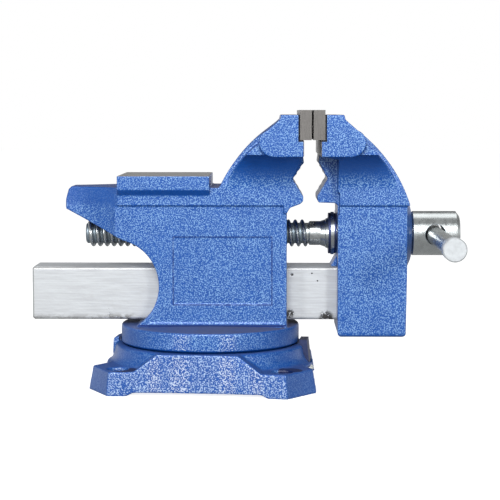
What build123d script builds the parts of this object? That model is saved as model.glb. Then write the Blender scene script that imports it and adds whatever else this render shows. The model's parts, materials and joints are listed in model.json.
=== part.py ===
from build123d import *
from math import radians, sin, cos, sqrt, tan
import os

# Bench vise with a swivel base, an anvil with a horn, and pipe jaws under the flat jaws.
# Millimetres. +Z up, origin on the bench under the swivel axis, +X towards the front jaw.
# The vise is stored closed, with its base turned a little under the body.

# ---- driving dimensions -------------------------------------------------------------

jaw_length = 114.3          # along Y, the vise's nominal size
gap = 0.3                   # between faces that move past each other
fit = 0.05                  # radial clearance of a shaft in its bore

# swivel base
base_turn = -5.5            # degrees that the base stands turned under the body
base_half_x = 69.2
base_half_y = 63.0
base_corner_x = 53.5        # where a corner's cut meets the long side
base_corner_y = 38.0        # where a corner's cut meets the short side
rear_half_x = 62.0          # the two rear ears are narrower
rear_corner_x = 54.5
rear_corner_y = 46.5
end_draft = 10.0            # degrees that the foot's ends lean in
side_draft = 3.0            # and its long sides
base_hollow = 3.0           # how far each long side curves in between its ears
base_waist = 56.5           # half width of the foot between the ears of a short side
relief_x = 38.0             # half length of the relief under each long side
foot_relief = 2.0           # the long sides stand this far off the bench between the ears
ear_height = 14.4
bridge_low_x = 46.4         # ends of the bridges between the long sides and the ring
bridge_low_z = 8.0
bridge_top_x = 24.0
ring_radius = 58.5
ring_top = 24.7
lug_top = 27.6              # of the lug opposite the lock, and of the lock's block
lug_half = 8.0
floor_bottom = 10.6
foot_hollow_radius = 44.0
floor_top = 17.0
bolt_circle = 139.0
bolt_hole_radius = 6.5

# swivel disc under the body
disc_radius = 55.0
disc_bottom = 25.5
bevel_radius = 53.4         # where the disc's bevel starts
disc_top = 38.0             # inside disc_flat, and from there it falls towards the rim
disc_flat = 30.0
disc_fall = 1.0
spigot_radius = 46.0
spigot_inner = 37.0
hub_radius = 15.0
pivot_radius = 6.0
pivot_hole_depth = 17.5
pivot_head_bottom = 0.6     # of the pivot bolt's head, up inside the hollow foot
pivot_head_top = 7.8        # where its washer starts
pivot_head_flats = 19.0
pivot_length = 24.0
pivot_washer_radius = 13.0

# swivel lock: a set screw, tilted from the disc's axis, in a threaded block in the ring
lock_tilt = 37.1            # degrees, also the slope of the disc's bevel
lock_start_x = 57.9         # where the screw's axis meets the block's lower face
lock_start_z = 9.65
lock_width = 15.0           # of the block
lock_radius = 3.0
lock_pad_radius = 2.2
lock_pad_length = 1.3
lock_head_flats = 10.0
lock_head_height = 4.2
lock_head_room = 8.0        # radius of the room for its head
lock_head_room_depth = 14.0

# rear body
rear_face_x = 47.2
body_half = 27.3            # half width below the belt line
body_foot = 2.2             # size of the fillet where its sides meet the disc
shoulder_half = 29.0        # half width above it
belt_z = 111.0
hollow_x = -58.8            # the hollow of the body's back, an arc in side view
hollow_z = 62.0
hollow_radius = 28.6
panel_x = 8.4               # middle of the shallow panels on its sides
panel_z = 71.3
panel_length = 59.6
panel_height = 41.2
panel_depth = 0.5
core_half = 19.0            # of the cored space in front of the nut
core_length = 34.0
core_top = 108.0
core_gap = 6.0              # from the nut's pocket to the cored space

# both jaws, as distances from the plane half way between them
jaw_middle_x = 61.8
jaw_top = 165.4
jaw_bottom = 140.9
lip_reach = 5.0             # the casting's face under the jaw plate
plate_gap = 1.1
plate_thickness = 6.8
plate_height = 17.5
plate_bottom = 150.7
plate_screw_y = 30.0        # of the two screws, either side of the middle
plate_screw_radius = 3.0
plate_screw_reach = 11.0    # into the casting
plate_screw_key = 4.0       # width of its hexagon socket
plate_screw_key_depth = 2.2
screw_head_radius = 6.2
head_sunk = 1.0             # how far the screws' heads lie under the plate's face
head_depth = 4.2            # and where their cones end
arc_radius = 90.2           # the outer curve of both jaws
arc_reach = -26.5           # its centre is past the middle plane
arc_z = 83.9
arc_top = 154.0             # where the curve ends under the jaw's top

# anvil and horn
anvil_rear = -54.8
anvil_front = 0.6
anvil_half = 32.5
anvil_top = 128.9
anvil_edge = 120.4          # lower edge of its upright side
anvil_neck = 116.4          # lower edge of its undercut
horn_top = 121.8
horn_tip_x = -88.0
horn_tip_half = 9.0

# slide bar
bar_half = 14.5
bar_bottom = 40.2
bar_top = 72.8
bar_rear = -108.5
bar_front = 108.0
bar_wall = 6.5
pin_x = 94.0                # of the pin that holds the bar in the front jaw
pin_radius = 4.0
pin_hole_depth = 26.0

# front jaw
front_inner_x = 78.0
front_outer_x = 119.8
front_half = 28.0
front_shoulder = 29.6
front_bottom = 31.2
boss_front = 123.8
boss_face = 14.6            # radius of the boss's flat end
boss_foot = 26.0            # and of its flare at the jaw
side_pipe_half = 22.0       # half width of the front pipe jaw

# main screw: single start, right hand, six threads to the inch
screw_z = 92.4
screw_pitch = 25.4 / 6
screw_radius = 8.5
screw_root = 6.4
screw_rear = -76.5
thread_end = 59.5
neck_radius = 7.5           # between the thread and the collar
neck_end = 68.0
collar_start = 71.0
collar_end = 72.9
head_front = 153.6
head_radius = 13.7
handle_x = 138.2
handle_radius = 5.4
handle_play = 1.0           # radial play of the handle in its loose hole
handle_drop = 0.6           # so far it lies under the hole's middle

# nut of the main screw, a block let into the roof of the bar's channel
nut_rear = -28.0
nut_length = 28.0
nut_half = 13.0
set_screw_z = 79.5
set_screw_radius = 3.0

# ---- shared shapes ------------------------------------------------------------------

plate_front = plate_gap / 2
plate_back = plate_front + plate_thickness


def arc_x(z):
    """Distance of the jaws' outer curve from the middle plane, at height z."""
    return arc_reach + sqrt(arc_radius ** 2 - (z - arc_z) ** 2)


def jaw_points(points, side):
    """Points given as (distance from the middle plane, z), on one jaw: -1 rear, 1 front."""
    return [(jaw_middle_x + side * reach, z) for reach, z in points]


def pipe_tooth_line(valley_reach, nose_reach):
    """Toothed line of a pipe jaw: down from the jaw to its nose, as (distance, z)."""
    mouth, valley, nose = (4.4, 136.6), (valley_reach, 126.8), (nose_reach, 116.6)
    teeth, depth = 3, 1.3
    line = [mouth]
    for start, end in ((mouth, valley), (valley, nose)):
        step_x, step_z = (end[0] - start[0]) / teeth, (end[1] - start[1]) / teeth
        outward = 1 if end[0] > start[0] else -1
        for tooth in range(1, teeth + 1):
            x, z = start[0] + tooth * step_x, start[1] + tooth * step_z
            if outward > 0:
                line.append((x, z - step_z * 0.25 + depth * 0.2))
            else:
                line.append((x - step_x - depth * 0.1, z - step_z * 0.75))
            line.append((x, z))
    return line


def jaw_side(side):
    """Side outline of a jaw above the belt line, without its wings."""
    arc_low = (arc_x(belt_z), belt_z)
    arc_mid = (arc_x(136.0), 136.0)
    arc_high = (arc_x(arc_top), arc_top)
    if side < 0:
        throat = [(4.8, 113.6), (6.6, 111.9), (12.7, 109.6), (14.6, 106.4), (16.6, 106.4),
                  (16.6, belt_z)]
        teeth = pipe_tooth_line(10.8, 4.8)
    else:
        teeth = pipe_tooth_line(9.8, 3.8)
        throat = [(3.8, 113.8), (4.8, 112.4), (14.4, 112.1), (front_inner_x - jaw_middle_x, belt_z)]
    inner = [
        arc_high,
        (19.0, 162.6),
        (18.4, jaw_top),
        (plate_back, jaw_top),
        (plate_back, plate_bottom),
        (lip_reach, plate_bottom),
        (lip_reach, jaw_bottom),
        *teeth,
        *throat,
        arc_low,
    ]
    with BuildSketch(Plane.XZ) as outline:
        with BuildLine():
            ThreePointArc(*jaw_points([arc_low, arc_mid, arc_high], side))
            Polyline(*jaw_points(inner, side))
        make_face()
    return outline.sketch


def wing_side(side):
    """Outline of a jaw's end."""
    low, back, high = (21.9, jaw_bottom), (31.2, 149.2), (26.4, 156.2)
    inner = [
        low,
        (lip_reach, jaw_bottom),
        (lip_reach, plate_bottom),
        (plate_back, plate_bottom),
        (plate_back, jaw_top),
        (18.4, jaw_top),
        (19.0, 162.6),
        high,
    ]
    with BuildSketch(Plane.XZ) as outline:
        with BuildLine():
            Polyline(*jaw_points(inner, side))
            ThreePointArc(*jaw_points([high, (30.0, 153.4), back], side))
            ThreePointArc(*jaw_points([back, (28.6, 143.4), low], side))
        make_face()
    return outline.sketch


def wing_web(side, half, throat):
    """Webs that carry the wings: hollow curves from the body's sides out to the wings."""
    low, high = (arc_x(118.0) - 4.0, 118.0), (29.0, 150.0)
    inner = [high, (lip_reach + 0.2, 150.0), (lip_reach + 0.2, jaw_bottom), (throat, jaw_bottom - 2),
             (16.0, 118.0), low]
    with BuildPart() as web:
        with BuildSketch(Plane.XZ):
            with BuildLine():
                ThreePointArc(*jaw_points([low, (arc_x(134.0) - 3.0, 134.0), high], side))
                Polyline(*jaw_points(inner, side))
            make_face()
        extrude(amount=60, both=True)
        with BuildSketch(Plane.YZ):
            with BuildLine():
                for y in (-1, 1):
                    ThreePointArc((y * half, 119.0), (y * (half + 4.6), 133.4), (y * 53.0, 142.0))
                Line((-half, 119.0), (half, 119.0))
                Polyline((-53.0, 142.0), (-53.0, 150.0), (53.0, 150.0), (53.0, 142.0))
            make_face()
        extrude(amount=140, mode=Mode.INTERSECT)
    return web.part


def plate_screw_spots(side, reach):
    """Places of a jaw plate's screws, each looking out of the jaw's face."""
    return [
        Plane(
            origin=(jaw_middle_x + side * reach, y, plate_bottom + plate_height / 2),
            x_dir=(0, 1, 0),
            z_dir=(-side, 0, 0),
        )
        for y in (-plate_screw_y, plate_screw_y)
    ]


# ---- swivel base --------------------------------------------------------------------

turned = Plane.XY.rotated((0, 0, base_turn))
turned_side = Plane(origin=(0, 0, 0), x_dir=turned.x_dir, z_dir=-turned.y_dir)
tilt_x, tilt_z = sin(radians(lock_tilt)), cos(radians(lock_tilt))
lock_start = turned.from_local_coords((lock_start_x, 0, lock_start_z))
lock_axis = turned.from_local_coords((-tilt_x, 0, tilt_z))
lock_plane = Plane(origin=lock_start, x_dir=turned.y_dir, z_dir=lock_axis)
# the disc's bevel meets the screw's axis square on, this far up the axis
bevel_reach = (lock_start_x - bevel_radius) * tilt_x + (disc_bottom - lock_start_z) * tilt_z


def bevel_z(radius):
    """Height of the disc's bevel at a radius from the swivel axis."""
    return disc_bottom - (bevel_radius - radius) * tan(radians(lock_tilt))


spigot_bottom = floor_top + gap
seat_drop = 0.7             # the base's seat lies this far under the bevel
seat_edge = bevel_radius + (ring_top + seat_drop - disc_bottom) / tan(radians(lock_tilt))
lock_block_line = [
    (56.0, lug_top),
    (60.7, lug_top),
    (62.3, lock_start_z + (62.3 - lock_start_x) * tan(radians(lock_tilt))),
    (51.2, lock_start_z + (51.2 - lock_start_x) * tan(radians(lock_tilt))),
    (51.2, bevel_z(51.2) - 1.5),
    (53.4, bevel_z(53.4) - 1.5),
    (56.0, bevel_z(53.4) - 1.5),
]

def foot_plan(waist, end_inset=0.0, side_inset=0.0):
    """Plan of the foot, with four ears and hollow sides, drawn in by the insets."""
    ears = {-1: (base_half_x, base_corner_x, base_corner_y), 1: (rear_half_x, rear_corner_x, rear_corner_y)}
    with BuildSketch(turned) as plan:
        with BuildLine():
            for y, (half_x, corner_x, corner_y) in ears.items():
                half_y = base_half_y - side_inset
                outer_x, outer_y = half_x - end_inset, corner_y - end_inset / 2
                inner_x = corner_x - end_inset / 2
                middle = (0, y * (half_y - base_hollow))
                ThreePointArc((-inner_x, y * half_y), middle, (inner_x, y * half_y))
                for x in (-1, 1):
                    Line((x * inner_x, y * half_y), (x * outer_x, y * outer_y))
            for x in (-1, 1):
                ThreePointArc(
                    (x * (base_half_x - end_inset), -base_corner_y + end_inset / 2),
                    (x * (waist - end_inset), 0),
                    (x * (rear_half_x - end_inset), rear_corner_y - end_inset / 2),
                )
        make_face()
    return plan.sketch


def foot_solid(waist, height):
    """The foot's plan drawn up to a height, with its sides leaning in."""
    top = foot_plan(waist, height * tan(radians(end_draft)), height * tan(radians(side_draft)))
    with BuildPart() as foot:
        loft([foot_plan(waist).face(), top.moved(Location((0, 0, height))).face()])
    return foot.part


with BuildPart() as swivel_base:
    add(foot_solid(base_waist, ear_height))
    # bridges that carry the long sides up to the ring between the ears
    with BuildSketch(turned_side):
        Polygon((-bridge_low_x, bridge_low_z), (-bridge_top_x, ring_top), (bridge_top_x, ring_top),
                (bridge_low_x, bridge_low_z), align=None)
    extrude(amount=base_half_y, both=True)
    # ring
    with BuildSketch(Plane.XZ):
        with BuildLine():
            Polyline((0, 0), (0, ring_top), (ring_radius - 1.5, ring_top),
                     (ring_radius - 0.4, ring_top - 0.5), (ring_radius, ring_top - 1.5),
                     (ring_radius + 0.8, 19.5))
            ThreePointArc((ring_radius + 0.8, 19.5), (ring_radius + 2.4, 15.8), (ring_radius + 6, 13.0))
            Polyline((ring_radius + 6, 13.0), (ring_radius - 3, 0), (0, 0))
        make_face()
    revolve(axis=Axis.Z)
    # lug opposite the lock
    with BuildSketch(turned_side):
        Polygon((-56.2, 20), (-56.2, lug_top + 0.6), (-58.9, lug_top), (-59.7, lug_top - 0.8),
                (-60.3, 18), align=None)
    extrude(amount=lug_half, both=True)
    # nothing stands out past the foot's long sides
    add(foot_solid(ring_radius + 8, ring_top + 5), mode=Mode.INTERSECT)
    # seat of the disc
    with BuildSketch(Plane.XZ):
        Polygon((0, ring_top + 5), (0, floor_top), (spigot_radius + 0.6, floor_top),
                (spigot_radius + 0.6, bevel_z(spigot_radius + 0.6) - seat_drop),
                (seat_edge, ring_top), (seat_edge, ring_top + 5), align=None)
    revolve(axis=Axis.Z, mode=Mode.SUBTRACT)
    # hollow under the foot
    with BuildSketch(Plane.XY):
        Circle(foot_hollow_radius)
    extrude(amount=floor_bottom, mode=Mode.SUBTRACT)
    # pivot hole and bench bolt holes
    with BuildSketch(turned):
        with PolarLocations(bolt_circle / 2, 4, start_angle=45):
            Circle(bolt_hole_radius)
    extrude(amount=ring_top + 5, mode=Mode.SUBTRACT)
    with BuildSketch(Plane.XY):
        Circle(pivot_radius + fit)
    extrude(amount=ring_top, mode=Mode.SUBTRACT)
    # relief along the bench between the ears
    with BuildSketch(turned_side):
        Polygon((-relief_x - 6, -1), (-relief_x, foot_relief), (relief_x, foot_relief),
                (relief_x + 6, -1), align=None)
    extrude(amount=base_half_y + 1, both=True, mode=Mode.SUBTRACT)
    # pocket of the lock block, and room under it for the screw's head
    with BuildSketch(turned_side):
        Polygon(*lock_block_line, align=None)
        Polygon((57, lug_top), (64, lug_top), (64, 20), (57, 18), align=None)
    extrude(amount=lock_width / 2, both=True, mode=Mode.SUBTRACT)
    with BuildSketch(lock_plane):
        Circle(lock_head_room)
    extrude(amount=-lock_head_room_depth, mode=Mode.SUBTRACT)
    with BuildSketch(lock_plane):
        Circle(lock_radius + gap)
    extrude(amount=bevel_reach, mode=Mode.SUBTRACT)
swivel_base.part.label = "swivel_base"

# ---- swivel lock --------------------------------------------------------------------

with BuildPart() as lock_block:
    with BuildSketch(turned_side):
        Polygon(*lock_block_line, align=None)
    extrude(amount=lock_width / 2, both=True)
    with BuildSketch(lock_plane):
        Circle(lock_radius + fit)
    extrude(amount=20, mode=Mode.SUBTRACT)
lock_block.part.label = "lock_block"

with BuildPart() as lock_screw:
    with BuildSketch(lock_plane.offset(-lock_head_height - gap)):
        RegularPolygon(lock_head_flats / 2, 6, major_radius=False)
    extrude(amount=lock_head_height)
    with BuildSketch(lock_plane.offset(-gap)):
        Circle(lock_radius)
    extrude(amount=bevel_reach - 2 * gap - lock_pad_length + gap)
lock_screw.part.label = "lock_screw"

with BuildPart() as lock_pad:
    with BuildSketch(lock_plane.offset(bevel_reach - gap - lock_pad_length)):
        Circle(lock_pad_radius)
    extrude(amount=lock_pad_length)
lock_pad.part.label = "lock_pad"

# ---- rear body ----------------------------------------------------------------------

with BuildPart() as rear_body:
    # lower block with the underside of the horn
    with BuildSketch(Plane.XZ):
        with BuildLine():
            hollow_top = (hollow_x + 7.5, sqrt(hollow_radius ** 2 - 7.5 ** 2) + hollow_z)
            hollow_low = (hollow_x + sqrt(hollow_radius ** 2 - 24 ** 2), hollow_z - 24)
            ThreePointArc(hollow_top, (hollow_x + hollow_radius, hollow_z), hollow_low)
            Polyline(hollow_low, (hollow_low[0], disc_top - 2), (rear_face_x, disc_top - 2),
                     (rear_face_x, belt_z), (horn_tip_x - 1, belt_z), (horn_tip_x - 1, 108.4), hollow_top)
        make_face()
    extrude(amount=body_half, both=True)
    # fillets where its sides meet the disc
    with BuildSketch(Plane.YZ.offset(-36)):
        for y in (-1, 1):
            Polygon((y * 20, disc_top - 2), (y * 20, disc_top + body_foot),
                    (y * body_half, disc_top + body_foot),
                    (y * (body_half + body_foot * 0.3), disc_top + body_foot * 0.3),
                    (y * (body_half + body_foot), disc_top), (y * (body_half + body_foot), disc_top - 2),
                    align=None)
    extrude(amount=36 + 44)
    # upper block, up to the horn's top
    with BuildSketch(Plane.XZ):
        Polygon((horn_tip_x - 1, belt_z), (rear_face_x, belt_z), (rear_face_x, 118),
                (8, horn_top), (horn_tip_x + 3.5, horn_top), (horn_tip_x + 1.6, 120), align=None)
    extrude(amount=shoulder_half, both=True)
    # in plan the horn tapers to its tip
    with BuildSketch(Plane.XY):
        with BuildLine():
            for y in (-1, 1):
                ThreePointArc((anvil_rear + 0.5, y * shoulder_half), (-62, y * 22.5),
                              (horn_tip_x, y * horn_tip_half))
            Polyline((anvil_rear + 0.5, -shoulder_half), (anvil_rear + 2, -40), (60, -40),
                     (60, 40), (anvil_rear + 2, 40), (anvil_rear + 0.5, shoulder_half))
            ThreePointArc((horn_tip_x, -horn_tip_half), (horn_tip_x - 1, 0), (horn_tip_x, horn_tip_half))
        make_face()
    extrude(amount=140, mode=Mode.INTERSECT)
    # jaw with its wings, carried on hollow webs
    extrude(jaw_side(-1), amount=shoulder_half, both=True)
    extrude(wing_side(-1), amount=jaw_length / 2, both=True)
    add(wing_web(-1, shoulder_half, lip_reach + 0.2))
    # anvil
    with BuildSketch(Plane.YZ.offset(anvil_rear)):
        Polygon((-anvil_half, anvil_top), (anvil_half, anvil_top), (anvil_half, anvil_edge),
                (shoulder_half - 0.6, anvil_neck), (-shoulder_half + 0.6, anvil_neck),
                (-anvil_half, anvil_edge), align=None)
    extrude(amount=anvil_front - anvil_rear)
    # swivel disc, its bevel and its spigot
    with BuildSketch(Plane.XZ):
        Polygon((0, disc_top), (disc_flat, disc_top), (disc_radius - 1.2, disc_top - disc_fall),
                (disc_radius - 0.4, disc_top - disc_fall - 0.4), (disc_radius, disc_top - disc_fall - 1.2),
                (disc_radius, disc_bottom + 0.8),
                (disc_radius - 0.8, disc_bottom), (bevel_radius, disc_bottom),
                (spigot_radius, bevel_z(spigot_radius)), (spigot_radius, spigot_bottom),
                (spigot_inner, spigot_bottom), (spigot_inner, spigot_bottom + 11),
                (hub_radius, spigot_bottom + 11), (hub_radius, spigot_bottom), (0, spigot_bottom),
                align=None)
    revolve(axis=Axis.Z)
    # channel of the slide bar, right through
    with BuildSketch(Plane.XZ):
        Polygon((-70, bar_bottom - gap), (-70, bar_top + gap), (60, bar_top + gap),
                (60, bar_bottom - gap), align=None)
    extrude(amount=bar_half + gap, both=True, mode=Mode.SUBTRACT)
    # room for the main screw
    with BuildSketch(Plane.YZ.offset(screw_rear - 2.5)):
        with Locations((0, screw_z)):
            Circle(screw_radius + 1)
    extrude(amount=rear_face_x - screw_rear + 10, mode=Mode.SUBTRACT)
    # pocket of the nut, up from the channel
    with BuildSketch(Plane.YZ.offset(nut_rear)):
        with Locations((0, screw_z)):
            Circle(nut_half)
        Polygon((-nut_half, screw_z), (nut_half, screw_z), (nut_half, bar_top),
                (-nut_half, bar_top), align=None)
    extrude(amount=nut_length, mode=Mode.SUBTRACT)
    # cored space in front of the nut
    with BuildSketch(Plane.YZ.offset(nut_rear + nut_length + core_gap)):
        with Locations((0, (bar_top + core_top) / 2)):
            RectangleRounded(2 * core_half, core_top - bar_top, 6)
    extrude(amount=core_length, mode=Mode.SUBTRACT)
    # threaded hole of the nut's set screw
    with BuildSketch(Plane.XZ.offset(-body_half)):
        with Locations((nut_rear + nut_length / 2, set_screw_z)):
            Circle(set_screw_radius)
    extrude(amount=body_half - nut_half + 1, mode=Mode.SUBTRACT)
    # threaded hole of the pivot bolt
    with BuildSketch(Plane.XY.offset(spigot_bottom)):
        Circle(pivot_radius)
    extrude(amount=pivot_hole_depth, mode=Mode.SUBTRACT)
    # threaded holes of the jaw plate's screws
    for spot in plate_screw_spots(-1, plate_back):
        with BuildSketch(spot):
            Circle(plate_screw_radius)
        extrude(amount=-plate_screw_reach - 1, mode=Mode.SUBTRACT)
    # shallow panels on the sides of the block
    for y in (-1, 1):
        with BuildSketch(Plane.XZ.offset(y * body_half)):
            with Locations((panel_x, panel_z)):
                RectangleRounded(panel_length, panel_height, 1.5)
        extrude(amount=-y * panel_depth, mode=Mode.SUBTRACT)
rear_body.part.label = "rear_body"

with BuildPart() as pivot_bolt:
    with BuildSketch(Plane.XY.offset(pivot_head_bottom)):
        RegularPolygon(pivot_head_flats / 2, 6, major_radius=False)
    extrude(amount=pivot_head_top - pivot_head_bottom)
    with BuildSketch(Plane.XY.offset(pivot_head_top)):
        Circle(pivot_radius)
    extrude(amount=pivot_length)
    chamfer(pivot_bolt.faces().sort_by(Axis.Z)[-1].edges(), 0.8)
pivot_bolt.part.label = "pivot_bolt"

with BuildPart() as pivot_washer:
    with BuildSketch(Plane.XY.offset(pivot_head_top)):
        Circle(pivot_washer_radius)
        Circle(pivot_radius + gap, mode=Mode.SUBTRACT)
    extrude(amount=floor_bottom - gap - pivot_head_top)
pivot_washer.part.label = "pivot_washer"

# ---- main screw and its nut ---------------------------------------------------------

with BuildPart() as screw_nut:
    with BuildSketch(Plane.YZ.offset(nut_rear)):
        with Locations((0, screw_z)):
            Circle(nut_half)
        Polygon((-nut_half, screw_z), (nut_half, screw_z), (nut_half, bar_top + 1.2),
                (-nut_half, bar_top + 1.2), align=None)
        with Locations((0, screw_z)):
            Circle(screw_radius + 0.1, mode=Mode.SUBTRACT)
    extrude(amount=nut_length)
    with BuildSketch(Plane.XZ.offset(-nut_half)):
        with Locations((nut_rear + nut_length / 2, set_screw_z)):
            Circle(set_screw_radius)
    extrude(amount=4, mode=Mode.SUBTRACT)
screw_nut.part.label = "screw_nut"

with BuildPart() as nut_set_screw:
    with BuildSketch(Plane.XZ.offset(-body_half + 1)):
        with Locations((nut_rear + nut_length / 2, set_screw_z)):
            Circle(set_screw_radius)
            RegularPolygon(1.5, 6, major_radius=False, mode=Mode.SUBTRACT)
    extrude(amount=3)
    with BuildSketch(Plane.XZ.offset(-body_half + 4)):
        with Locations((nut_rear + nut_length / 2, set_screw_z)):
            Circle(set_screw_radius)
    extrude(amount=body_half - 4 - nut_half + 4)
nut_set_screw.part.label = "nut_set_screw"

thread_start = screw_rear + 2.2
with BuildPart() as main_screw:
    with BuildSketch(Plane.XZ):
        with BuildLine():
            Polyline(
                (screw_rear, screw_z),
                (screw_rear, screw_z + screw_root - 0.8),
                (screw_rear + 0.8, screw_z + screw_root),
                (thread_end + 1.2, screw_z + screw_root),
                (thread_end + 2.0, screw_z + neck_radius),
                (neck_end, screw_z + neck_radius),
                (collar_start, screw_z + screw_radius),
                (boss_front + gap, screw_z + screw_radius),
                (boss_front + gap, screw_z + head_radius - 0.8),
                (boss_front + gap + 0.8, screw_z + head_radius),
                (head_front - 2.2, screw_z + head_radius),
                (head_front - 0.5, screw_z + head_radius - 2.2),
                (head_front, screw_z + head_radius - 3.0),
                (head_front, screw_z),
                (screw_rear, screw_z),
            )
        make_face()
    revolve(axis=Axis((0, 0, screw_z), (1, 0, 0)))
    with BuildLine() as thread_path:
        Helix(screw_pitch, thread_end - thread_start, screw_root - 0.3,
              center=(thread_start, 0, screw_z), direction=(1, 0, 0))
    with BuildSketch(Plane(origin=thread_path.line @ 0, x_dir=(0, 0, 1), z_dir=thread_path.line % 0)):
        with BuildLine():
            Polyline((0, -1.6), (1.7, -0.95), (2.2, -0.55), (2.4, 0), (2.2, 0.55), (1.7, 0.95),
                     (0, 1.6), (0, -1.6))
        make_face()
    sweep(path=thread_path.line, is_frenet=True)
    with BuildSketch(Plane.XZ):
        with Locations((handle_x, screw_z)):
            Circle(handle_radius + handle_play)
    extrude(amount=20, both=True, mode=Mode.SUBTRACT)
main_screw.part.label = "main_screw"


def ring_on_screw(start, length, outer):
    """A flat ring round the screw's shank."""
    with BuildPart() as ring:
        with BuildSketch(Plane.YZ.offset(start)):
            with Locations((0, screw_z)):
                Circle(outer)
                Circle(screw_radius, mode=Mode.SUBTRACT)
        extrude(amount=length)
    return ring


with BuildPart() as retaining_collar:
    with BuildSketch(Plane.XZ):
        Polygon((collar_start, screw_z + screw_radius), (collar_start + 0.3, screw_z + 9.0),
                (collar_end, screw_z + 9.6), (collar_end, screw_z + screw_radius), align=None)
    revolve(axis=Axis((0, 0, screw_z), (1, 0, 0)))
retaining_collar.part.label = "retaining_collar"

retaining_ring = ring_on_screw(collar_end, 1.5, 12.6)
retaining_ring.part.label = "retaining_ring"

thrust_washer = ring_on_screw(collar_end + 1.5, 2.0, 13.2)
thrust_washer.part.label = "thrust_washer"

spring_washer = ring_on_screw(collar_end + 3.5, 1.3, 12.4)
spring_washer.part.label = "spring_washer"

# ---- handle -------------------------------------------------------------------------

handle_near = -118.0
handle_far = 34.0
cap_length = 9.0
cap_radius = 6.8
rod_near = handle_near + 2.0
rod_far = handle_far - 2.0
handle_z = screw_z - handle_drop

with BuildPart() as handle_bar:
    with BuildSketch(Plane.XZ.offset(-rod_far)):
        with Locations((handle_x, handle_z)):
            Circle(handle_radius)
    extrude(amount=rod_far - rod_near)
handle_bar.part.label = "handle_bar"


def handle_cap(end, outward):
    """A cap pressed on an end of the handle: outward is -1 at the near end, 1 at the far end."""
    inner = end - outward * cap_length
    with BuildPart() as cap:
        with BuildSketch(Plane.XY.offset(handle_z)):
            Polygon((handle_x, end), (handle_x + cap_radius - 0.7, end),
                    (handle_x + cap_radius, end - outward * 0.7),
                    (handle_x + cap_radius, inner + outward * 1.2),
                    (handle_x + handle_radius + 0.4, inner), (handle_x + handle_radius, inner),
                    (handle_x + handle_radius, end - outward * 2.0), (handle_x, end - outward * 2.0),
                    align=None)
        revolve(axis=Axis((handle_x, 0, handle_z), (0, 1, 0)))
    return cap


handle_cap_near = handle_cap(handle_near, -1)
handle_cap_near.part.label = "handle_cap_near"

handle_cap_far = handle_cap(handle_far, 1)
handle_cap_far.part.label = "handle_cap_far"

# ---- moving jaw ---------------------------------------------------------------------

with BuildPart() as front_jaw:
    # lower block
    with BuildSketch(Plane.XZ):
        Polygon((front_inner_x, front_bottom), (front_outer_x - 0.6, front_bottom),
                (front_outer_x, 70), (front_outer_x, belt_z), (front_inner_x, belt_z), align=None)
    extrude(amount=front_half, both=True)
    fillet(front_jaw.faces().sort_by(Axis.Z)[0].edges(), 2.4)
    # upper block and the narrower pipe jaw in front of it
    extrude(jaw_side(1), amount=front_shoulder, both=True)
    with BuildSketch(Plane.XY.offset(105)):
        for y in (-1, 1):
            Polygon((jaw_middle_x, y * side_pipe_half), (front_inner_x + 1, y * side_pipe_half),
                    (front_inner_x + 1, y * 40), (jaw_middle_x, y * 40), align=None)
    extrude(amount=jaw_bottom - 105, mode=Mode.SUBTRACT)
    # wings, carried on hollow webs
    extrude(wing_side(1), amount=jaw_length / 2, both=True)
    add(wing_web(1, front_shoulder, front_inner_x - jaw_middle_x))
    # boss round the screw
    with BuildSketch(Plane.XZ):
        Polygon((front_inner_x + 2, screw_z), (front_inner_x + 2, screw_z + boss_foot),
                (front_outer_x - 1.6, screw_z + boss_foot), (front_outer_x + 1.2, screw_z + 21.8),
                (boss_front - 0.6, screw_z + 17.0), (boss_front, screw_z + boss_face),
                (boss_front, screw_z), align=None)
    revolve(axis=Axis((0, 0, screw_z), (1, 0, 0)))
    # web on top of the slide bar
    with BuildSketch(Plane.XZ):
        Polygon((front_inner_x + 1, 79.8), (front_inner_x, 79.8), (74.2, bar_top),
                (front_inner_x + 1, bar_top), align=None)
    extrude(amount=bar_half - 3, both=True)
    # pocket of the slide bar and bore of the screw
    with BuildSketch(Plane.XZ):
        Polygon((70, bar_bottom), (70, bar_top), (bar_front, bar_top), (bar_front, bar_bottom),
                align=None)
    extrude(amount=bar_half, both=True, mode=Mode.SUBTRACT)
    with BuildSketch(Plane.YZ.offset(50)):
        with Locations((0, screw_z)):
            Circle(screw_radius + fit)
    extrude(amount=90, mode=Mode.SUBTRACT)
    # hole of the pin that holds the bar
    with BuildSketch(Plane.XY.offset(front_bottom)):
        with Locations((pin_x, 0)):
            Circle(pin_radius)
    extrude(amount=pin_hole_depth, mode=Mode.SUBTRACT)
    # threaded holes of the jaw plate's screws
    for spot in plate_screw_spots(1, plate_back):
        with BuildSketch(spot):
            Circle(plate_screw_radius)
        extrude(amount=-plate_screw_reach - 1, mode=Mode.SUBTRACT)
front_jaw.part.label = "front_jaw"

with BuildPart() as slide_bar:
    with BuildSketch(Plane.YZ.offset(bar_rear)):
        with Locations((0, (bar_bottom + bar_top) / 2)):
            RectangleRounded(2 * bar_half, bar_top - bar_bottom, 2.0)
    extrude(amount=bar_front - bar_rear)
    chamfer(slide_bar.faces().sort_by(Axis.X)[0].edges(), 1.0)
    # it is an upturned channel, open below
    with BuildSketch(Plane.YZ.offset(bar_rear)):
        with Locations((0, bar_bottom + 11)):
            RectangleRounded(2 * bar_half - 2 * bar_wall, 2 * (bar_top - bar_wall - bar_bottom - 11), 3)
    extrude(amount=pin_x - 12 - bar_rear, mode=Mode.SUBTRACT)
    with BuildSketch(Plane.XY.offset(front_bottom)):
        with Locations((pin_x, 0)):
            Circle(pin_radius)
    extrude(amount=pin_hole_depth, mode=Mode.SUBTRACT)
slide_bar.part.label = "slide_bar"

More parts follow.
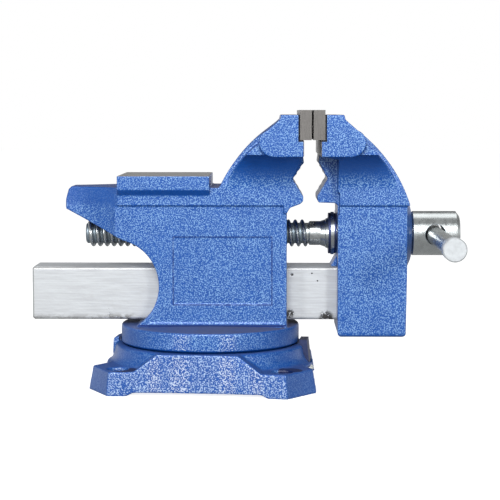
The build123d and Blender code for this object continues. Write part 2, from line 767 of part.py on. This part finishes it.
with BuildPart() as slide_bar_pin:
    with BuildSketch(Plane.XY.offset(front_bottom + 1)):
        with Locations((pin_x, 0)):
            Circle(pin_radius)
            Circle(1.6, mode=Mode.SUBTRACT)
    extrude(amount=pin_hole_depth - 1.5)
slide_bar_pin.part.label = "slide_bar_pin"

# ---- jaw plates and their screws ----------------------------------------------------


def jaw_plate(side):
    """A jaw plate with countersunk holes."""
    middle = jaw_middle_x + side * (plate_front + plate_thickness / 2)
    with BuildPart() as plate:
        with BuildSketch(Plane.XZ):
            with Locations((middle, plate_bottom + plate_height / 2)):
                Rectangle(plate_thickness, plate_height)
        extrude(amount=jaw_length / 2, both=True)
        for spot in plate_screw_spots(side, plate_front):
            with BuildSketch(spot):
                Circle(plate_screw_radius)
            extrude(amount=-plate_thickness, mode=Mode.SUBTRACT)
            with BuildSketch(spot):
                Circle(screw_head_radius)
            extrude(amount=-head_sunk, mode=Mode.SUBTRACT)
            with BuildSketch(spot.offset(-head_sunk)):
                Circle(screw_head_radius)
            with BuildSketch(spot.offset(-head_depth)):
                Circle(plate_screw_radius)
            loft(mode=Mode.SUBTRACT)
    return plate


def plate_screws(side):
    """The two countersunk screws of a jaw plate."""
    with BuildPart() as screws:
        for spot in plate_screw_spots(side, plate_front):
            with BuildSketch(spot.offset(-head_sunk)):
                Circle(screw_head_radius)
            with BuildSketch(spot.offset(-head_depth)):
                Circle(plate_screw_radius)
            loft()
            with BuildSketch(spot.offset(-head_depth)):
                Circle(plate_screw_radius)
            extrude(amount=-(plate_thickness - head_depth) - plate_screw_reach)
            with BuildSketch(spot.offset(-head_sunk)):
                RegularPolygon(plate_screw_key / 2, 6, major_radius=False)
            extrude(amount=-plate_screw_key_depth, mode=Mode.SUBTRACT)
    return screws


rear_jaw_plate = jaw_plate(-1)
rear_jaw_plate.part.label = "rear_jaw_plate"

front_jaw_plate = jaw_plate(1)
front_jaw_plate.part.label = "front_jaw_plate"

rear_plate_screws = plate_screws(-1)
rear_plate_screws.part.label = "rear_plate_screws"

front_plate_screws = plate_screws(1)
front_plate_screws.part.label = "front_plate_screws"

# ---- export -------------------------------------------------------------------------

pieces = [
    swivel_base, lock_block, lock_screw, lock_pad,
    rear_body, pivot_bolt, pivot_washer, screw_nut, nut_set_screw,
    main_screw, retaining_collar, retaining_ring, thrust_washer, spring_washer,
    handle_bar, handle_cap_near, handle_cap_far,
    front_jaw, slide_bar, slide_bar_pin,
    rear_jaw_plate, front_jaw_plate, rear_plate_screws, front_plate_screws,
]
os.makedirs("parts", exist_ok=True)
for piece in pieces:
    export_step(piece.part, f"parts/{piece.part.label}.step")
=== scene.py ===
import json
import math

import bpy
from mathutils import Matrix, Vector


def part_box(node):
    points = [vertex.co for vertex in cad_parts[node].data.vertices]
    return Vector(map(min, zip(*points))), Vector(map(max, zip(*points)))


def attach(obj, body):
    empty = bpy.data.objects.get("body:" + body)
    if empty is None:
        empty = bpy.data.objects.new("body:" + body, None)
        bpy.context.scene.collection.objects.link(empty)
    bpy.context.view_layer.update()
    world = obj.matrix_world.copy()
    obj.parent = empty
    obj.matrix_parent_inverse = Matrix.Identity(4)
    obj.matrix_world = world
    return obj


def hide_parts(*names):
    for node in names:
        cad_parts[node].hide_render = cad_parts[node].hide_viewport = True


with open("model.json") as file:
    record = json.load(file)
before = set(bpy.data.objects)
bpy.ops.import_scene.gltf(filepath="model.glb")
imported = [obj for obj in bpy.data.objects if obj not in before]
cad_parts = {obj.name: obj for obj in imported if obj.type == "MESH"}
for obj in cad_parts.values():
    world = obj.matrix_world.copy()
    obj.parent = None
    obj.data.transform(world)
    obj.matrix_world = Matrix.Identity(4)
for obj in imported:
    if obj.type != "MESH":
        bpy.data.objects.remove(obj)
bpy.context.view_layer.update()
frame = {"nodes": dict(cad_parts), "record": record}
nodes = frame["nodes"]
MM = 0.001
vise_middle = (0, 0, 0.08)


# ---- camera, floor and light --------------------------------------------------------

def make_camera():
    """Long lens a metre in front of the vise, at the height of its jaws, tilted a little down."""
    data = bpy.data.cameras.new("camera")
    data.sensor_width = 36.0
    data.lens = 116.6
    data.clip_start, data.clip_end = 0.05, 20.0
    camera = bpy.data.objects.new("camera", data)
    camera.location = (0.037, -1.0, 0.167)
    camera.rotation_euler = (math.radians(90 - 4.87), 0.0, math.radians(0.707))
    bpy.context.scene.collection.objects.link(camera)
    bpy.context.scene.camera = camera


def area_light(name, place, size, power):
    """Square white soft box at place, turned towards the middle of the vise."""
    data = bpy.data.lights.new(name, "AREA")
    data.shape = "SQUARE"
    data.size = size
    data.energy = power
    light = bpy.data.objects.new(name, data)
    light.location = place
    aim = Vector(vise_middle) - Vector(place)
    light.rotation_euler = aim.to_track_quat("-Z", "Y").to_euler()
    bpy.context.scene.collection.objects.link(light)


def make_stage():
    """Pale floor, surroundings that are white at the horizon, and four soft lights."""
    mesh = bpy.data.meshes.new("floor")
    half = 6.0
    corners = [(-half, -half, 0), (half, -half, 0), (half, half, 0), (-half, half, 0)]
    mesh.from_pydata(corners, [], [(0, 1, 2, 3)])
    floor = bpy.data.objects.new("floor", mesh)
    bpy.context.scene.collection.objects.link(floor)
    paint, nodes_, _ = new_material("floor_white")
    shader = nodes_["Principled BSDF"]
    shader.inputs["Base Color"].default_value = (0.5, 0.5, 0.5, 1)
    shader.inputs["Roughness"].default_value = 0.9
    shader.inputs["Emission Color"].default_value = (1, 1, 1, 1)
    shader.inputs["Emission Strength"].default_value = 0.85
    floor.data.materials.append(paint)
    # the vise stands in darker surroundings than the floor it is seen on
    floor.visible_diffuse = False
    floor.visible_glossy = False

    world = bpy.data.worlds.new("studio")
    world.use_nodes = True
    n, links = world.node_tree.nodes, world.node_tree.links
    place = n.new("ShaderNodeTexCoord")
    split = n.new("ShaderNodeSeparateXYZ")
    links.new(place.outputs["Generated"], split.inputs["Vector"])
    # from straight down at 0 to straight up at 1, with the horizon at 0.5
    sky = ramp(n, [(0.0, 0.40), (0.45, 0.46), (0.475, 1.0), (0.545, 1.0),
                   (0.57, 0.42), (0.64, 0.24), (0.80, 0.20), (1.0, 0.40)])
    height = n.new("ShaderNodeMapRange")
    height.inputs["From Min"].default_value = -1.0
    links.new(split.outputs["Z"], height.inputs["Value"])
    links.new(height.outputs["Result"], sky.inputs["Fac"])
    links.new(sky.outputs["Color"], n["Background"].inputs["Color"])
    n["Background"].inputs["Strength"].default_value = 1.0
    bpy.context.scene.world = world
    bpy.context.scene.view_settings.view_transform = "Standard"

    area_light("key", (-0.10, -1.35, 0.85), 0.6, 19.0)
    area_light("left", (-0.80, -0.95, 0.35), 0.2, 5.0)
    area_light("right", (0.60, -1.10, 0.35), 0.2, 5.0)
    area_light("top", (0.0, 0.4, 1.3), 0.8, 3.5)


# ---- materials ----------------------------------------------------------------------

def new_material(name):
    """A node material and its nodes and links."""
    material = bpy.data.materials.new(name)
    material.use_nodes = True
    return material, material.node_tree.nodes, material.node_tree.links


def add_node(nodes_, kind, **values):
    """A shader node, with its properties and named inputs set."""
    node = nodes_.new(kind)
    for key, value in values.items():
        if hasattr(node, key):
            setattr(node, key, value)
        else:
            node.inputs[key.replace("_", " ")].default_value = value
    return node


def ramp(nodes_, stops):
    """A colour ramp with (place, grey or colour) stops."""
    node = nodes_.new("ShaderNodeValToRGB")
    elements = node.color_ramp.elements
    while len(elements) < len(stops):
        elements.new(0.5)
    for element, (place, colour) in zip(elements, stops):
        element.position = place
        if not isinstance(colour, tuple):
            colour = (colour, colour, colour)
        element.color = (*colour, 1)
    return node


class Paint:
    """Builds one material's nodes: masks are sockets that run from 0 to 1."""

    def __init__(self, name):
        self.material, self.n, self.links = new_material(name)
        self.shader = self.n["Principled BSDF"]
        coordinates = self.n.new("ShaderNodeTexCoord")
        self.place = coordinates.outputs["Object"]
        self.surface = self.n.new("ShaderNodeNewGeometry")
        self.where = self.split(self.place)
        # the object's own normal, so that the paint turns with its piece
        self.facing = self.split(coordinates.outputs["Normal"])

    def split(self, socket):
        """The x, y and z of a vector."""
        node = self.n.new("ShaderNodeSeparateXYZ")
        self.links.new(socket, node.inputs[0])
        return {axis: node.outputs[axis] for axis in "XYZ"}

    def noise(self, scale, detail=2.0, roughness=0.5, stretch=(1, 1, 1)):
        """Noise over the object, with about scale blobs in a metre."""
        mapping = self.n.new("ShaderNodeMapping")
        mapping.inputs["Scale"].default_value = stretch
        self.links.new(self.place, mapping.inputs["Vector"])
        node = add_node(self.n, "ShaderNodeTexNoise", Scale=scale, Detail=detail, Roughness=roughness)
        self.links.new(mapping.outputs["Vector"], node.inputs["Vector"])
        return node.outputs["Fac"]

    def step(self, socket, start, end):
        """0 where socket is at start, 1 where it is at end, and smooth between them."""
        node = self.n.new("ShaderNodeMapRange")
        node.interpolation_type = "SMOOTHSTEP"
        low, high = (start, end) if start < end else (end, start)
        node.inputs["From Min"].default_value = low
        node.inputs["From Max"].default_value = high
        if start > end:
            node.inputs["To Min"].default_value = 1.0
            node.inputs["To Max"].default_value = 0.0
        self.links.new(socket, node.inputs["Value"])
        return node.outputs["Result"]

    def scale(self, socket, low, high):
        """A 0 to 1 socket spread from low to high."""
        node = self.n.new("ShaderNodeMapRange")
        node.inputs["To Min"].default_value = low
        node.inputs["To Max"].default_value = high
        self.links.new(socket, node.inputs["Value"])
        return node.outputs["Result"]

    def absolute(self, socket):
        """Size of a socket without its sign."""
        node = self.n.new("ShaderNodeMath")
        node.operation = "ABSOLUTE"
        self.links.new(socket, node.inputs[0])
        return node.outputs[0]

    def between(self, socket, low, high, edge=0.2 * MM):
        """1 where socket is from low to high, with soft edges."""
        return self.times(self.step(socket, low - edge, low), self.step(socket, high + edge, high))

    def shift(self, socket, amount):
        """Socket less an amount."""
        node = add_node(self.n, "ShaderNodeMath")
        node.operation = "SUBTRACT"
        self.links.new(socket, node.inputs[0])
        node.inputs[1].default_value = amount
        return node.outputs[0]

    def spot(self, centre, radius):
        """A soft round spot at a place."""
        node = self.n.new("ShaderNodeVectorMath")
        node.operation = "DISTANCE"
        self.links.new(self.place, node.inputs[0])
        node.inputs[1].default_value = centre
        return self.step(node.outputs["Value"], radius, radius * 0.5)

    def times(self, *sockets):
        """Product of masks."""
        product = sockets[0]
        for socket in sockets[1:]:
            node = self.n.new("ShaderNodeMath")
            node.operation = "MULTIPLY"
            self.links.new(product, node.inputs[0])
            self.links.new(socket, node.inputs[1])
            product = node.outputs[0]
        return product

    def mix(self, mask, under, over):
        """Under where the mask is 0 and over where it is 1: each a colour or a socket."""
        node = self.n.new("ShaderNodeMix")
        node.data_type = "RGBA"
        self.links.new(mask, node.inputs[0])
        for value, socket in ((under, node.inputs[6]), (over, node.inputs[7])):
            if isinstance(value, tuple):
                socket.default_value = (*value, 1)
            else:
                self.links.new(value, socket)
        return node.outputs[2]

    def blend(self, mask, under, over):
        """A number or socket under where the mask is 0, and over where it is 1."""
        node = self.n.new("ShaderNodeMix")
        self.links.new(mask, node.inputs[0])
        for value, socket in ((under, node.inputs[2]), (over, node.inputs[3])):
            if isinstance(value, (int, float)):
                socket.default_value = value
            else:
                self.links.new(value, socket)
        return node.outputs[0]

    def either(self, *masks):
        """1 where any of the masks is 1."""
        union = masks[0]
        for mask in masks[1:]:
            union = self.blend(mask, union, 1.0)
        return union

    def distance(self, point, along):
        """Distance from the line through a point along an axis."""
        across = [0.0 if axis == along else 1.0 for axis in "XYZ"]
        mapping = self.n.new("ShaderNodeMapping")
        mapping.inputs["Scale"].default_value = across
        mapping.inputs["Location"].default_value = [-at * keep for at, keep in zip(point, across)]
        self.links.new(self.place, mapping.inputs["Vector"])
        node = self.n.new("ShaderNodeVectorMath")
        node.operation = "LENGTH"
        self.links.new(mapping.outputs["Vector"], node.inputs[0])
        return node.outputs["Value"]

    def rim(self, middle, half, width):
        """1 within width of the edges of a rectangle in the X-Z plane."""
        edges = []
        for axis, centre, reach in zip("XZ", middle, half):
            edges.append(self.shift(self.absolute(self.shift(self.where[axis], centre)), reach))
        node = self.n.new("ShaderNodeMath")
        node.operation = "MAXIMUM"
        for edge, socket in zip(edges, node.inputs):
            self.links.new(edge, socket)
        return self.step(self.absolute(node.outputs[0]), width, width * 0.5)

    def bump(self, height, depth, strength=1.0):
        """Bump of the surface by a height mask, depth deep in metres, over any bump before it."""
        node = add_node(self.n, "ShaderNodeBump", Strength=strength, Distance=depth)
        self.links.new(height, node.inputs["Height"])
        before = self.shader.inputs["Normal"].links
        if before:
            self.links.new(before[0].from_socket, node.inputs["Normal"])
        self.links.new(node.outputs["Normal"], self.shader.inputs["Normal"])

    def finish(self, colour=None, roughness=None, metallic=None):
        """Puts colour, roughness and metallic, each a value or a socket, on the shader."""
        for name, value in (("Base Color", colour), ("Roughness", roughness), ("Metallic", metallic)):
            socket = self.shader.inputs[name]
            if value is None:
                continue
            if isinstance(value, tuple):
                socket.default_value = (*value, 1)
            elif isinstance(value, (int, float)):
                socket.default_value = value
            else:
                self.links.new(value, socket)
        return self.material


def hammertone():
    """Blue hammertone paint: pale flake speckles over deep blue, partly the paint's texture and
    partly painted glints.

    The speckles are thickest on faces turned along Y, where the lamps catch them, and thin out on
    top, underneath and on the horn's side. Upward faces near the top are grey: dusty paint, and
    also a painted reflection. The anvil's top is ground bare, the edge of each jaw under its plate
    is dirty, and the base's wall and the disc's have strips of painted highlight. Concave creases,
    the ear holes, the panel's outline, the body's foot and the pocket round each jaw plate get
    painted shade."""
    paint = Paint("blue_hammertone")
    up = paint.step(paint.facing["Z"], 0.60, 0.95)
    down = paint.step(paint.facing["Z"], -0.15, -0.6)
    cells = paint.noise(1350.0, 1.5, 0.6)
    flakes_and_glints = paint.step(cells, 0.50, 0.58)
    density = paint.scale(paint.noise(55.0, 2.0), 0.45, 1.1)
    side = paint.absolute(paint.facing["Y"])
    # painted highlight: paler and thicker speckles low on the base's walls that face along Y
    wall_highlight = paint.times(paint.step(paint.where["Z"], disc_low + 4 * MM, disc_low - 6 * MM),
                           paint.step(side, 0.80, 0.97))
    # painted highlight: bright strips, along X, on the base's wall and on the disc's side
    glints = []
    for middle, half in wall_glints:
        beside = paint.absolute(paint.shift(paint.where["X"], middle))
        glints.append(paint.step(beside, half * 1.4, half * 0.4))
    glints = paint.either(*glints)
    on_disc = paint.times(paint.between(paint.where["Z"], disc_low, disc_top),
                          paint.step(side, 0.90, 0.96), glints)
    wall_highlight = paint.blend(on_disc, paint.times(wall_highlight, paint.scale(glints, 0.55, 1.0)), 0.6)
    # painted shade: fewer speckles on the horn's side, which is turned away from the lamps
    horn = paint.times(paint.step(paint.where["X"], horn_root, horn_root - 5 * MM),
                       paint.step(paint.where["Z"], horn_belt, horn_belt + 7 * MM))
    density = paint.times(paint.blend(wall_highlight, density, 1.0),
                          paint.blend(paint.step(side, 0.6, 0.95), 0.35, 1.0))
    # the speckles are the paint's texture and painted glints, thinned on top, underneath and on the
    # horn's side
    flakes_and_glints = paint.times(flakes_and_glints, density, paint.scale(up, 1.0, 0.2), paint.scale(down, 1.0, 0.1),
                         paint.scale(horn, 1.0, 0.2))
    flake_and_glint_colour = paint.mix(wall_highlight, (0.195, 0.355, 0.61), (0.44, 0.51, 0.65))
    deep = paint.mix(paint.noise(90.0, 3.0), (0.001, 0.053, 0.26), (0.003, 0.073, 0.33))
    colour = paint.mix(flakes_and_glints, deep, flake_and_glint_colour)
    # grey on upward faces, strongest high up and towards +X: dusty paint, and also a painted reflection
    # of the pale sky
    high = paint.step(paint.where["Z"], disc_top - 7 * MM, disc_top - 4 * MM)
    forward = paint.step(paint.where["X"], -0.035, 0.0)
    dust_and_sheen_extent = paint.times(paint.scale(high, 0.3, 1.0), paint.scale(forward, 0.6, 1.0))
    dust_and_sheen = paint.times(up, dust_and_sheen_extent, paint.scale(paint.noise(70.0, 4.0, 0.6), 0.35, 1.0))
    colour = paint.mix(dust_and_sheen, colour, (0.10, 0.095, 0.13))
    # painted shade in concave creases, where the pointiness is low
    edge = paint.surface.outputs["Pointiness"]
    colour = paint.mix(paint.step(edge, 0.47, 0.42), colour, (0.010, 0.035, 0.16))

    # painted shade inside the ears' mounting holes
    for x in (-hole_at, hole_at):
        for y in (-hole_at, hole_at):
            hole = paint.step(paint.distance((x, y, 0), "Z"),
                              hole_radius + 1.2 * MM, hole_radius + 0.4 * MM)
            hole = paint.times(hole, paint.step(paint.where["Z"], ear_top + 9.6 * MM, ear_top + 7.6 * MM))
            colour = paint.mix(hole, colour, (0.004, 0.012, 0.07))

    # painted shade along the side panel's outline, broken up by noise, and where the body's foot meets
    # the disc
    panel = paint.rim(panel_middle, panel_half, 0.6 * MM)
    on_side = paint.step(paint.absolute(paint.where["Y"]), body_side - 1.5 * MM, body_side - MM)
    line_breaks = paint.step(paint.noise(300.0, 2.0), 0.35, 0.5)
    panel = paint.times(panel, on_side)
    foot = paint.times(
        paint.between(paint.where["Z"], disc_top - 0.3 * MM, disc_top + 0.4 * MM, 0.3 * MM),
        paint.step(paint.where["X"], body_front + 4.8 * MM, body_front + 2.8 * MM),
        paint.between(paint.absolute(paint.where["Y"]), body_side, body_side + 2.6 * MM),
    )
    crease_shade = paint.either(foot, paint.times(panel, paint.scale(line_breaks, 0.3, 0.7)))
    colour = paint.mix(crease_shade, colour, (0.004, 0.022, 0.14))
    from_middle = paint.absolute(paint.shift(paint.where["X"], jaw_middle))
    # painted shade in the pocket round each jaw plate
    plate_gap_shade = paint.times(paint.step(from_middle, plate_back + 1.2 * MM, plate_back + 0.8 * MM),
                       paint.step(paint.where["Z"], plate_low - 1.2 * MM, plate_low - 0.8 * MM))
    colour = paint.mix(plate_gap_shade, colour, (0.003, 0.004, 0.010))
    lip = paint.times(paint.step(from_middle, lip_reach + 0.5 * MM, lip_reach + 0.3 * MM),
                      paint.between(paint.where["Z"], lip_low, plate_low))
    dirt = paint.mix(paint.step(paint.noise(500.0, 3.0), 0.42, 0.58),
                     (0.05, 0.04, 0.035), (0.17, 0.16, 0.15))
    colour = paint.mix(lip, colour, dirt)

    over_anvil = paint.times(paint.step(paint.where["X"], anvil_rear - 2 * MM, anvil_rear),
                             paint.step(paint.where["X"], anvil_front + 4 * MM, anvil_front + 3 * MM))
    bare = paint.times(paint.step(paint.where["Z"], anvil_top - 2 * MM, anvil_top - 0.8 * MM),
                       over_anvil, up)
    steel = paint.mix(paint.noise(900.0, 3.0, 0.6, (0.05, 1, 1)),
                      (0.26, 0.255, 0.25), (0.50, 0.49, 0.48))
    colour = paint.mix(bare, colour, steel)
    paint.bump(cells, 0.22 * MM, 0.6)
    paint.bump(paint.noise(160.0, 2.0), 0.35 * MM, 0.35)
    rough = paint.blend(paint.either(crease_shade, plate_gap_shade), paint.blend(up, 0.34, 0.62), 0.9)
    return paint.finish(colour, paint.blend(bare, rough, 0.38), paint.blend(bare, 0.12, 1.0))


def plain_metal(name, colour, roughness, stretch=(1, 1, 1), streaks=0.15, grain=400.0, mottle=0.0,
                shine=1.0, grease=None):
    """Metal with fine streaks in its roughness and colour, and cloudy where mottle is set.

    grease, if set, takes the paint and gives a mask of where the metal is dark."""
    paint = Paint(name)
    fine = paint.noise(grain, 3.0, 0.6, stretch)
    dull = tuple(c * (1 - streaks) for c in colour)
    shade = paint.mix(paint.step(fine, 0.3, 0.7), dull, colour)
    clouds = paint.noise(130.0, 3.0, 0.65)
    shade = paint.mix(paint.scale(clouds, 0.0, mottle), shade, tuple(c * 0.45 for c in colour))
    rough = paint.scale(fine, roughness - 0.1, roughness + 0.1)
    paint.bump(fine, 0.04 * MM, 0.5)
    if grease is None:
        return paint.finish(shade, rough, shine)
    dark_mask = grease(paint)
    return paint.finish(paint.mix(dark_mask, shade, (0.20, 0.245, 0.28)),
                        paint.blend(dark_mask, rough, 0.45), paint.blend(dark_mask, 1.0, 0.7))


def screw_grease(paint):
    """Dark grease in the screw's thread and in the hole of its handle."""
    radius = paint.distance((0, 0, screw_height), "X")
    thread = paint.times(paint.step(radius, thread_crest - 0.6 * MM, thread_crest - 2.0 * MM),
                         paint.step(paint.where["X"], thread_end + MM, thread_end))
    hole = paint.step(paint.distance((handle_x, 0, screw_height), "Y"),
                      handle_hole + 0.4 * MM, handle_hole)
    return paint.either(thread, hole)


def silver_paint():
    """Silver paint on the slide bar, brushed on along it, chipped to dark iron in a few places."""
    paint = Paint("silver_paint")
    strokes = paint.noise(900.0, 3.0, 0.6, (0.05, 1, 1))
    lumps = paint.noise(120.0, 3.0, 0.6, (0.6, 1, 1))
    silver = paint.mix(paint.step(strokes, 0.3, 0.7), (0.465, 0.48, 0.50), (0.55, 0.575, 0.595))
    silver = paint.mix(paint.step(lumps, 0.60, 0.75), silver, (0.46, 0.47, 0.48))
    chips = paint.times(paint.step(paint.noise(75.0, 5.0, 0.65), 0.665, 0.70),
                        paint.step(paint.noise(22.0, 1.0), 0.50, 0.58))
    ragged = paint.step(paint.noise(420.0, 4.0, 0.7), 0.42, 0.50)
    for centre, radius in bar_chips:
        chips = paint.either(chips, paint.times(paint.spot(centre, radius), ragged))
    low_edge = paint.step(paint.where["Z"], bar_low.z + 5 * MM, bar_low.z + 0.5 * MM)
    near_body = paint.spot((-0.048, bar_low.y, bar_low.z + 2 * MM), 0.022)
    scuffs = paint.times(low_edge, paint.scale(near_body, 0.5, 1.0),
                         paint.step(paint.noise(260.0, 4.0, 0.7, (0.5, 1, 1)), 0.46, 0.60))
    top_edge = paint.times(paint.step(paint.where["Z"], bar_high.z - 2.4 * MM, bar_high.z - 1.4 * MM),
                           paint.step(paint.absolute(paint.facing["Y"]), 0.3, 0.6))
    grime = paint.times(top_edge, paint.scale(paint.noise(120.0, 4.0, 0.6), 0.2, 1.0))
    rim = paint.blend(paint.step(paint.where["Z"], bar_low.z + 0.9 * MM, bar_low.z + 0.3 * MM),
                      paint.step(paint.where["X"], bar_low.x + 0.9 * MM, bar_low.x + 0.3 * MM), 0.6)
    by_body = paint.times(paint.step(paint.where["X"], body_front - 0.2 * MM, body_front - 7.2 * MM),
                          paint.step(paint.where["X"], body_front - 17.2 * MM, body_front - 12.2 * MM))
    shaded = paint.blend(paint.scale(rim, 0.0, 0.9), paint.scale(by_body, 0.0, 0.8), 0.5)
    silver = paint.mix(shaded, silver, (0.14, 0.14, 0.14))
    colour = paint.mix(scuffs, silver, (0.16, 0.155, 0.15))
    colour = paint.mix(grime, colour, (0.30, 0.30, 0.295))
    colour = paint.mix(chips, colour, (0.035, 0.033, 0.032))
    paint.bump(strokes, 0.05 * MM, 0.4)
    paint.bump(lumps, 0.5 * MM, 0.4)
    paint.bump(chips, -0.25 * MM, 1.0)
    return paint.finish(colour, paint.blend(chips, 0.42, 0.75), paint.blend(chips, 0.45, 0.2))


def paint_node(name, material):
    """Gives a CAD node one material on all its faces."""
    mesh = nodes[name].data
    mesh.materials.clear()
    mesh.materials.append(material)


# ---- castings -----------------------------------------------------------------------

def soft_casting(name, node, body, material, voxel=0.7 * MM, passes=3, keep=0.3):
    """A casting with rounded edges in place of a CAD node: its skin, remeshed and smoothed."""
    piece = bpy.data.objects.new(name, nodes[node].data.copy())
    bpy.context.scene.collection.objects.link(piece)
    remesh = piece.modifiers.new("skin", "REMESH")
    remesh.mode = "VOXEL"
    remesh.voxel_size = voxel
    remesh.use_smooth_shade = True
    smooth = piece.modifiers.new("round", "SMOOTH")
    smooth.factor = 0.5
    smooth.iterations = passes
    thin = piece.modifiers.new("thin", "DECIMATE")
    thin.ratio = keep
    bpy.context.view_layer.update()
    shaped = bpy.data.meshes.new_from_object(piece.evaluated_get(bpy.context.evaluated_depsgraph_get()))
    piece.modifiers.clear()
    piece.data = shaped
    shaped.materials.clear()
    shaped.materials.append(material)
    for polygon in shaped.polygons:
        polygon.use_smooth = True
    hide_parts(node)
    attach(piece, body)


# ---- where the paint's details lie, in metres ----------------------------------------

anvil_rear, anvil_front, anvil_top = -0.0548, 0.0006, 0.1289
body_side, body_front = 0.0273, 0.0472
horn_root, horn_belt = -0.053, 0.107
disc_low, disc_top = 0.026, 0.0380
ear_top = 0.0144
hole_at, hole_radius = 0.0491, 0.0065
# middle and half width, along X, of the painted highlight strips on the base's wall and the disc's
wall_glints = ((-0.031, 0.004), (-0.016, 0.006), (0.012, 0.005), (0.029, 0.004))
panel_middle, panel_half = (0.0084, 0.0713), (0.0298, 0.0206)
plate_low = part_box("rear_jaw_plate")[0].z
jaw_middle = (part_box("rear_jaw_plate")[0].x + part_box("front_jaw_plate")[1].x) / 2
plate_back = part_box("front_jaw_plate")[1].x - jaw_middle
lip_reach, lip_low = 0.0050, 0.1409
bar_low, bar_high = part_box("slide_bar")
bar_chips = (
    ((0.0716, bar_low.y, 0.0413), 0.0055),
    ((0.0492, bar_low.y, 0.0437), 0.0035),
    ((0.0505, bar_low.y, 0.0680), 0.0011),
    ((0.0627, bar_low.y, 0.0687), 0.0006),
    ((0.0661, bar_low.y, 0.0641), 0.0006),
)

screw_low, screw_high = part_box("main_screw")
screw_height = (screw_low.z + screw_high.z) / 2
thread_crest, thread_end = 0.0085, 0.0590
handle_low, handle_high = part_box("handle_bar")
handle_x = (handle_low.x + handle_high.x) / 2
handle_hole = (handle_high.x - handle_low.x) / 2 + 1.0 * MM

# ---- the scene ----------------------------------------------------------------------

make_camera()
make_stage()
blue = hammertone()
zinc = plain_metal("zinc_plate", (0.58, 0.615, 0.61), 0.28, mottle=0.5)
dark = plain_metal("black_steel", (0.06, 0.075, 0.16), 0.5)
ground = plain_metal("ground_steel", (0.165, 0.158, 0.152), 0.42, (6, 6, 0.3), mottle=0.3)
silver = silver_paint()
iron = plain_metal("bare_iron", (0.3, 0.29, 0.28), 0.6)
brass = plain_metal("brass", (0.7, 0.52, 0.22), 0.35)

slot_paint = {
    "blue_paint": blue,
    "zinc_steel": zinc,
    "dark_steel": dark,
    "ground_steel": ground,
    "silver_paint": silver,
    "bare_iron": iron,
    "brass": brass,
}
for entry in frame["record"]["subparts"]:
    paint_node(entry["node"], slot_paint[entry["material_slot"]])
zinc_screw = plain_metal("zinc_screw", (0.60, 0.635, 0.64), 0.28, mottle=0.45, grease=screw_grease)
paint_node("main_screw", zinc_screw)
cap_zinc = plain_metal("cap_zinc", (0.55, 0.58, 0.60), 0.45, mottle=0.3, shine=0.4)
paint_node("handle_cap_near", cap_zinc)
paint_node("handle_cap_far", cap_zinc)

soft_casting("base_casting", "swivel_base", "base", blue)
soft_casting("rear_casting", "rear_body", "body", blue, 0.5 * MM, 2, 0.2)
soft_casting("front_casting", "front_jaw", "moving_jaw", blue, 0.5 * MM, 2, 0.25)
